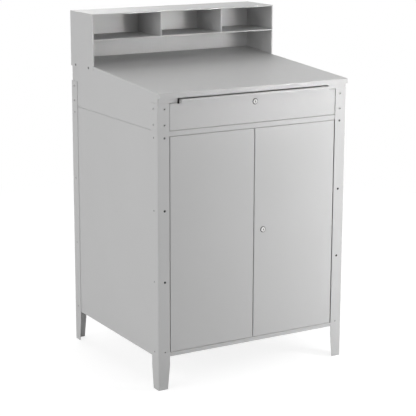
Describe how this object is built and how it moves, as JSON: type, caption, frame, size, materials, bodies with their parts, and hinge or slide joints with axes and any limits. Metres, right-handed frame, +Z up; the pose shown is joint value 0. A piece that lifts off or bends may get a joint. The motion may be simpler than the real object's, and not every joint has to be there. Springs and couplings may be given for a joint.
{
  "type": "shop desk",
  "caption": "Sheet-steel shop desk with sloping top, pigeonhole riser, locking drawer with full-width pull and two-door cabinet on tapered angle legs",
  "frame": {"origin": "on the floor, at the centre of the rectangle that the four legs enclose", "axes": "+Z up, +X to the right of a person facing the doors, +Y towards the back"},
  "size_m": [0.8812, 0.7808, 1.4386],
  "materials": {
    "grey_paint": "satin powder coat with a fine orange peel",
    "painted_screw": "satin powder coat",
    "screw_steel": "dark oxide",
    "zinc_steel": "bright zinc plate",
    "lock_chrome": "polished",
    "nylon": "natural"
  },
  "bodies": {
    "carcass": {"leg_front_left": "grey_paint", "leg_front_right": "grey_paint", "leg_rear_left": "grey_paint", "leg_rear_right": "grey_paint", "side_panel_left": "grey_paint", "side_panel_right": "grey_paint", "cabinet_back": "grey_paint", "cabinet_floor": "grey_paint", "cabinet_top": "grey_paint", "cabinet_shelf": "grey_paint", "shelf_bracket_left": "grey_paint", "shelf_bracket_right": "grey_paint", "desktop_shell": "grey_paint", "drawer_frame": "grey_paint", "desk_back": "grey_paint", "drawer_lock_strike": "zinc_steel", "drawer_channel_left": "zinc_steel", "drawer_channel_right": "zinc_steel", "channel_brackets": "zinc_steel", "riser_side_left": "grey_paint", "riser_side_right": "grey_paint", "riser_back": "grey_paint", "riser_top": "grey_paint", "riser_shelf": "grey_paint", "riser_divider_left": "grey_paint", "riser_divider_right": "grey_paint", "leg_bolts": "painted_screw", "leg_bolt_nuts": "zinc_steel", "leg_screws": "screw_steel", "riser_screws": "screw_steel", "door_bushings": "nylon"},
    "drawer": {"drawer_front": "grey_paint", "drawer_tray": "grey_paint", "drawer_ends": "grey_paint", "drawer_slide_left": "zinc_steel", "drawer_slide_right": "zinc_steel", "drawer_lock_housing": "lock_chrome", "drawer_lock_nut": "zinc_steel"},
    "drawer_lock": {"drawer_lock_plug": "lock_chrome", "drawer_lock_cam": "zinc_steel"},
    "door_left": {"door_left": "grey_paint", "door_stiffener_left": "grey_paint", "door_pins_left": "zinc_steel", "door_bolt_straps": "zinc_steel"},
    "door_bolt": {"door_bolt": "zinc_steel"},
    "door_right": {"door_right": "grey_paint", "door_stiffener_right": "grey_paint", "door_pins_right": "zinc_steel", "door_lock_housing": "lock_chrome", "door_lock_nut": "zinc_steel"},
    "door_lock": {"door_lock_plug": "lock_chrome", "door_lock_cam": "zinc_steel"}
  },
  "joints": [
    {"name": "drawer_slide", "type": "slide", "parent": "carcass", "child": "drawer", "axis": [0, -1, 0], "range_m": [0, 0.4]},
    {"name": "drawer_lock_turn", "type": "hinge", "parent": "drawer", "child": "drawer_lock", "pos_m": [0, -0.38, 1.1228], "axis": [0, 1, 0], "range_deg": [0, 90]},
    {"name": "door_left_swing", "type": "hinge", "parent": "carcass", "child": "door_left", "pos_m": [-0.3755, -0.3725, 0.58], "axis": [0, 0, -1], "range_deg": [0, 105]},
    {"name": "door_bolt_slide", "type": "slide", "parent": "door_left", "child": "door_bolt", "axis": [0, 0, 1], "range_m": [0, 0.014]},
    {"name": "door_right_swing", "type": "hinge", "parent": "carcass", "child": "door_right", "pos_m": [0.3755, -0.3725, 0.58], "axis": [0, 0, 1], "range_deg": [0, 105]},
    {"name": "door_lock_turn", "type": "hinge", "parent": "door_right", "child": "door_lock", "pos_m": [0.0432, -0.38, 0.5989], "axis": [0, -1, 0], "range_deg": [0, 90]}
  ]
}
